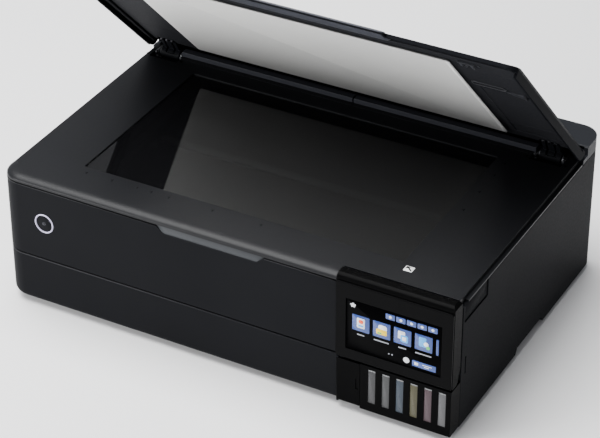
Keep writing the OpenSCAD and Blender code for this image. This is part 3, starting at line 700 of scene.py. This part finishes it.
def make_display():
    """Lit display with plain tiles, small generic icons, buttons and dots. It shows no lettering."""
    tile_pitch, tile_width, button_pitch, raised = 22.5, 18.6, 11.3, 0.16
    tiles = [(4.8 + i * tile_pitch, 4.8 + i * tile_pitch + tile_width) for i in range(4)]
    buttons = [on_screen(40.7 + i * button_pitch, 50.6 + i * button_pitch, 46.9, 53.2) for i in range(5)]
    buttons.append(on_screen(70, 95.4, 1.2, 8.2))
    marks = [screen_disc(63.8, 5.4, 3.3), on_screen(2.6, 8.4, 50.6, 52.2, r=0.2),
             on_screen(3.4, 7.6, 48.6, 50.8, r=0.2), on_screen(4.4, 6.6, 52.0, 53.4, r=0.6)]
    marks += [screen_disc(45.7 + i * button_pitch, 50, 1.5, raised) for i in range(5)]
    marks += [on_screen(72.5, 76.5, 3.2, 6.4, raised, 0.4), on_screen(81, 91, 5.2, 5.9, raised, 0.2),
              on_screen(83, 88, 3.2, 3.9, raised, 0.2)]
    captions = [on_screen((a + b) / 2 - w, (a + b) / 2 + w, 17.4, 18.8, r=0.5)
                for (a, b), w in zip(tiles, (4.0, 8.2, 4.2, 8.6))]
    captions += [screen_disc(45 + i * 3.5, 6.4, 0.8) for i in range(2)]
    layers = {
        "screen_face": (SCREEN, [face_plate(408.4, 510.6, 77.4, 136.2, -3, SCREEN_Y, 0.6, 0.05)]),
        "screen_tiles": (LIT_BLUE, [on_screen(a, b, 22.3, 40.7) for a, b in tiles + [(95, 97.6)]]),
        "screen_buttons": (LIT_BUTTON, buttons),
        "screen_white_marks": (LIT_WHITE, marks),
        "screen_captions": (LIT_PALE, captions),
    }
    for index, ((a, _), shapes) in enumerate(zip(tiles, ICONS)):
        for level, (material, left, right, low, high, r) in enumerate(shapes):
            shape = on_screen(a + left, a + right, low, high, 0.12 + 0.06 * level, r)
            layers["screen_icon_%d_%d" % (index + 1, level + 1)] = (material, [shape])
    for name, (material, shapes) in layers.items():
        piece(name, merge(*shapes), material, "panel",
              ["lcd_module"] if name == "screen_face" else (), round_mm=0)


def make_ink_unit():
    """Ink window inserts: the ink up to its level, and the brighter clear line above it."""
    pitch, width, low, level, high = 15.28, 8.2, 17.8, 56.4, 58.4
    for index, tint in enumerate(INK_TINTS):
        x = 436.7 + index * pitch
        left, right = x - width / 2 + 0.05, x + width / 2 - 0.05
        ink = plastic("ink_%d" % (index + 1), tint, 0.3, grain=260, depth=0.00004, edge=1.0, specular=0.2)
        inset = face_plate(left, right, low, level, -1.15, -3.5, 0.5, 0.2)
        piece("ink_level_%d" % (index + 1), inset, ink, "body", round_mm=0)
        clear = face_plate(left, right, level, high, -1.15, -3.45, 0.5, 0.2)
        piece("ink_top_%d" % (index + 1), clear, TANK_TOP, "body", round_mm=0)


# ---------------------------------------------------------------- lid
# Sides of the pressing pad: left, right, front and rear
PAD_SIDES = (73, 445, 50, 272)
# The lid's pieces are given as they lie when it is shut. Small parts of its inner face start at
# ROOT_Z, a little inside that face. Cuts through the face start at LID_UNDER.
ROOT_Z = 160.1
LID_UNDER = 150


def make_lid_inner():
    """Inner face of the lid, with its oval slot, grooves, ribs, side rims and small mouldings."""
    plate = slab(6, WIDTH - 6, 38, 284, 160, 162, 6, 0.3)
    gaps = [block(x - 12, x + 12, 276, 300, LID_UNDER, OVER) for _, x in HINGES]
    oval = slab(452, 487, 106.4, 113.6, LID_UNDER, OVER, 3.5, 0.05)
    groove = [slab(x0, x1, y, y + 0.9, LID_UNDER, 160.5, 0.4, 0.05)
              for x0, x1 in ((456, 512), (10, 62)) for y in (66, 232)]
    piece("lid_inner_face", plate, LID_INNER, "lid", ["lid_inner"],
          cuts=[merge(*gaps), oval, merge(*groove)], round_mm=0.25, lid=True)
    rim = loft([[(x, y, z) for x, y in round_rect(452 - i, 487 + i, 106.4 - i, 113.6 + i, [3.5 + i] * 4, 6)]
                for i, z in ((1.4, 159.9), (1.0, 158.9), (0.2, 158.9))])
    slot = slab(451.9, 487.1, 106.3, 113.7, LID_UNDER, OVER, 3.6, 0.05)
    piece("lid_slot_rim", rim, DETAIL, "lid", cuts=[slot], round_mm=0, lid=True)
    wedge = loft([[(487, 113, z), (507, 111, z), (507, 125, z)] for z in (158.2, ROOT_Z)])
    comb = [slab(x0, x1, y0, y1, z, ROOT_Z, 0.6, 0.3) for x0, x1, y0, y1, z in
            ((455, 473, 44, 46, 157.6), (456, 459, 46, 55, 157.8),
             (462, 465, 46, 52, 157.8), (468, 471, 46, 57, 157.8))]
    studs = [bar((x, y, ROOT_Z), (x, y, z), r) for x, y, z, r in
             ((460.5, 58, 158.6, 1.6), (477, 47, 158.9, 1.3))]
    tab = merge(*comb, *studs)
    ribs = [slab(x, x + 1.2, 122, 262, 159.3, ROOT_Z, 0.4, 0.15) for x in (456, 509)]
    ribs += [slab(456, 510, y, y + 1.2, 159.3, ROOT_Z, 0.4, 0.15) for y in (121, 262)]
    piece("lid_inner_details", merge(wedge, tab), DETAIL, "lid", round_mm=0.3, lid=True)
    for side, (x0, x1) in (("left", (2.2, 8.6)), ("right", (WIDTH - 8.6, WIDTH - 2.2))):
        rim = slab(x0, x1, 42, 289, 157.4, 160.6, 1, 0.5)
        piece("lid_rim_" + side, rim, LID_INNER, "lid", round_mm=0, lid=True)
    piece("lid_inner_frame", merge(*ribs), LID_INNER, "lid", round_mm=0, lid=True)


def make_pad():
    """White pressing pad: a sheet on a thin foam back, with a turned edge painted brighter than the pad as a
    highlight.
    """
    x0, x1, y0, y1 = PAD_SIDES
    low = BED_Z + 0.4
    sheet = slab(x0, x1, y0, y1, low, low + 1.4, 2.5, 0.35)
    foam = slab(x0 + 3, x1 - 3, y0 + 3, y1 - 3, low + 1.4, 160, 2, 0.05)
    piece("pressing_pad", sheet, PAD, "lid", ["document_pad"], round_mm=0, lid=True)
    piece("pad_foam", foam, FOAM, "lid", round_mm=0, lid=True)
    # Painted highlight along the pad's front and right edges
    rim = merge(slab(x0 + 1, x1 - 1, y0 + 0.1, y0 + 1.4, low - 0.12, low + 1.2, 0.4, 0.1),
                slab(x1 - 3.4, x1 - 0.1, y0 + 1, y1 - 1, low - 0.3, low + 1.2, 0.4, 0.1))
    piece("pad_edge_highlight", rim, PAD_EDGE_HIGHLIGHT, "lid", round_mm=0, lid=True)


def make_lid_hinges():
    """Lid hinge arms, each with its bored barrel, slots and three screws."""
    outline = ((299, 155.6), (283.2, 159.8), (277, 165.1), (311, 165.1), (312, 155.6))
    for side, x in HINGES:
        arm = loft([[(px, y, z) for y, z in outline] for px in (x - 9.8, x + 9.8)])
        barrel = bar((x - 12, HINGE_Y, HINGE_Z), (x + 12, HINGE_Y, HINGE_Z), 8, 0.6, 40)
        bore = bar((x - 20, HINGE_Y, HINGE_Z), (x + 20, HINGE_Y, HINGE_Z), 3.06, 0, 24)
        slots = [block(px - 1.2, px + 1.2, 270, 300, 150, 163.4) for px in (x - 4.6, x + 4.6)]
        piece("lid_hinge_%s" % side, arm, INNER, "lid",
              ["lid_hinges"] if side == "left" else (), adds=[barrel], cuts=[bore, merge(*slots)],
              round_mm=0.4, lid=True)
        screws = [bar((x + dx, 281.2, 160.9), (x + dx, 280.3, 159.2), 1.9, 0.3, 16) for dx in (-6.6, 0, 6.6)]
        piece("lid_hinge_screws_%s" % side, merge(*screws), SCREW, "lid", round_mm=0, lid=True)


def make_lid_lip():
    """Lip along the lid's front edge, in a grey that is a painted reflection on the lid's nose. It stops short of
    the control panel, and its ends taper.
    """
    section = [(12, 160.2), (11.2, 159.4), (11.3, 158.4), (12.4, 157.5), (14, 157.2), (30, 157.2),
               (35, 158.4), (37.5, 160.4), (37.5, 161), (22, 161), (14, 161)]
    ends = [(0, 0.55), (1.5, 0.75), (4, 0.92), (8, 1.0)]
    left, right, middle, top = 24, 387, 24, 161
    rings = [(left + dx, k) for dx, k in ends] + [(right - dx, k) for dx, k in ends[::-1]]
    loops = [[(x, middle + (y - middle) * (0.7 + 0.3 * k), top - (top - z) * k) for y, z in section]
             for x, k in rings]
    piece("lid_front_lip", loft(loops), LIP_REFLECTION, "lid", round_mm=0, lid=True)


# ---------------------------------------------------------------- small parts
def make_lid_corners():
    """Corner blocks that close the lid's ends beside its hinges."""
    near, far = 0.4, 4.3
    outline = ((291.6, 153.5), (296, 153.8), (300, 157.6), (302, 161), (302, 165.4), (291.6, 165.4))
    for side, x0, x1 in (("left", near, far), ("right", WIDTH - far, WIDTH - near)):
        piece("lid_corner_%s" % side, loft([[(x, y, z) for y, z in outline] for x in (x0, x1)]), LID,
              "lid", round_mm=0.5, lid=True)


def make_bed_marks():
    """Plain dark position marks in front of the window and beside it. They carry no lettering."""
    z0, z1 = BED_Z - 0.2, BED_Z + 0.04
    columns, rows = (82, 113, 143, 160, 181, 232, 288), (262, 236, 200, 162)
    front = [slab(x - 1.5, x + 1.5, 41.5, 42.2, z0, z1, 0.3, 0.02) for x in columns]
    front += [slab(x + 1 - 0.4, x + 1 + 0.4, 39, 43.4, z0, z1, 0.3, 0.02) for x in columns]
    right = [slab(451.5, 454.5, y, y + 0.8, z0, z1, 0.3, 0.02) for y in rows]
    right += [slab(453.8, 454.6, y - 2, y + 2.6, z0, z1, 0.3, 0.02) for y in rows]
    piece("bed_position_marks", merge(*front, *right), MARK, "scanner", round_mm=0)


def screw(x, y_face, z, r=3.4):
    """A screw head on the rear face, with a cross recess."""
    head = bar((x, y_face - 0.4, z), (x, y_face + 0.9, z), r, 0.5, 28)
    cross = block(x - r * 0.6, x + r * 0.6, y_face + 0.3, y_face + 2, z - 0.35, z + 0.35)
    upright = block(x - 0.35, x + 0.35, y_face + 0.3, y_face + 2, z - r * 0.6, z + r * 0.6)
    return head, cross, upright


REAR_SCREWS = ((34, 134), (34, 20), (489, 134), (300, 20), (300, 137))


def make_rear_details():
    """Louvres, screws and a blank rating plate on the rear, and the grips of the rear and feeder covers."""
    rear_y = span("rear_panel")[1][1]
    louvres = [block(30, 66, rear_y - 0.4, rear_y + 0.9, 66 + i * 6, 68.6 + i * 6) for i in range(9)]
    piece("rear_louvres", merge(*louvres), CASING, "body", round_mm=0.35)
    for index, (x, z) in enumerate(REAR_SCREWS):
        head, cross, upright = screw(x, rear_y, z)
        piece("rear_screw_%d" % (index + 1), head, SCREW, "body", cuts=[cross, upright],
              round_mm=0)
    x0, x1, z0, z1 = 455, 497, 92, 116
    plate = face_plate(x0, x1, z0, z1, rear_y - 0.2, rear_y + 0.15, 1.5, 0.05)
    piece("blank_rating_plate", plate, DETAIL, "body", round_mm=0)
    cover_y = span("rear_cover")[1][1]
    ribs = [block(236 + i * 8, 239 + i * 8, cover_y - 3.2, cover_y - 0.1, 104, 118) for i in range(6)]
    piece("rear_cover_grip", merge(*ribs), CASING, "rear_cover", round_mm=0.4)
    housing_top = span("rear_feeder_housing")[1][2]
    grip = slab(250, 280, 326, 331, housing_top - 0.8, housing_top - 0.02, 2.4, 0.3)
    piece("feeder_cover_grip", grip, DETAIL, "feeder_cover", round_mm=0)


def make_side_grip():
    """Shallow face of the grip in the right side, beside the control panel."""
    face = loft([[(x, y, z) for y, z in ((20.4 + i, 130.4 + i), (72.6 - i, 130.4 + i), (72.6 - i, 146 - i),
                                         (68 - i, 149.6 - i), (20.4 + i, 149.6 - i))]
                 for x, i in ((WIDTH - 4.8, 0), (WIDTH - 1.5, 0), (WIDTH - 1.1, 0.4))])
    piece("side_grip_face", face, CASING, "body", round_mm=0)


def make_hinge_springs():
    """Wire springs, keepers and bosses round the lid's hinges."""
    coil_r, wire_r, steps = 5.6, 0.35, 32
    wire = [(wire_r * math.cos(t), wire_r * math.sin(t)) for t in [math.pi * s / 3 for s in range(6)]]
    for side, x in HINGES:
        coils = []
        for end in (-1, 1):
            rings = []
            for k in range(steps + 1):
                across, up = math.cos(k * math.pi / 8), math.sin(k * math.pi / 8)
                px = x + end * (12.6 + 1.5 * k / 48)
                py, pz = HINGE_Y + coil_r * across, HINGE_Z + coil_r * up
                rings.append([(px + a, py + b * across, pz + b * up) for a, b in wire])
            coils.append(loft(rings))
        piece("hinge_springs_%s" % side, merge(*coils), STEEL, "scanner", round_mm=0)
        bosses = [bar((x + dx, y, BED_Z - 0.3), (x + dx, y, BED_Z + 0.25), 1.7, 0.2, 18)
                  for dx, y in ((-21.5, 287), (21.5, 287))]
        piece("hinge_bosses_%s" % side, merge(*bosses), MARK, "scanner", round_mm=0)
        plate = [slab(x + s * 16 - 1.4, x + s * 16 + 1.4, 294.5, 297.5, BED_Z - 4, BED_Z + 0.3, 0.6, 0.2)
                 for s in (-1, 1)]
        piece("hinge_keepers_%s" % side, merge(*plate), DETAIL, "scanner", round_mm=0)


# ---------------------------------------------------------------- build
make_camera()
make_studio()
dress_nodes()
make_scanner_top()
make_front_cover()
make_scoop()
make_power_ring()
make_panel()
make_display()
make_ink_unit()
make_lid_inner()
make_pad()
make_lid_hinges()
make_lid_lip()
make_lid_corners()
make_bed_marks()
make_rear_details()
make_side_grip()
make_hinge_springs()
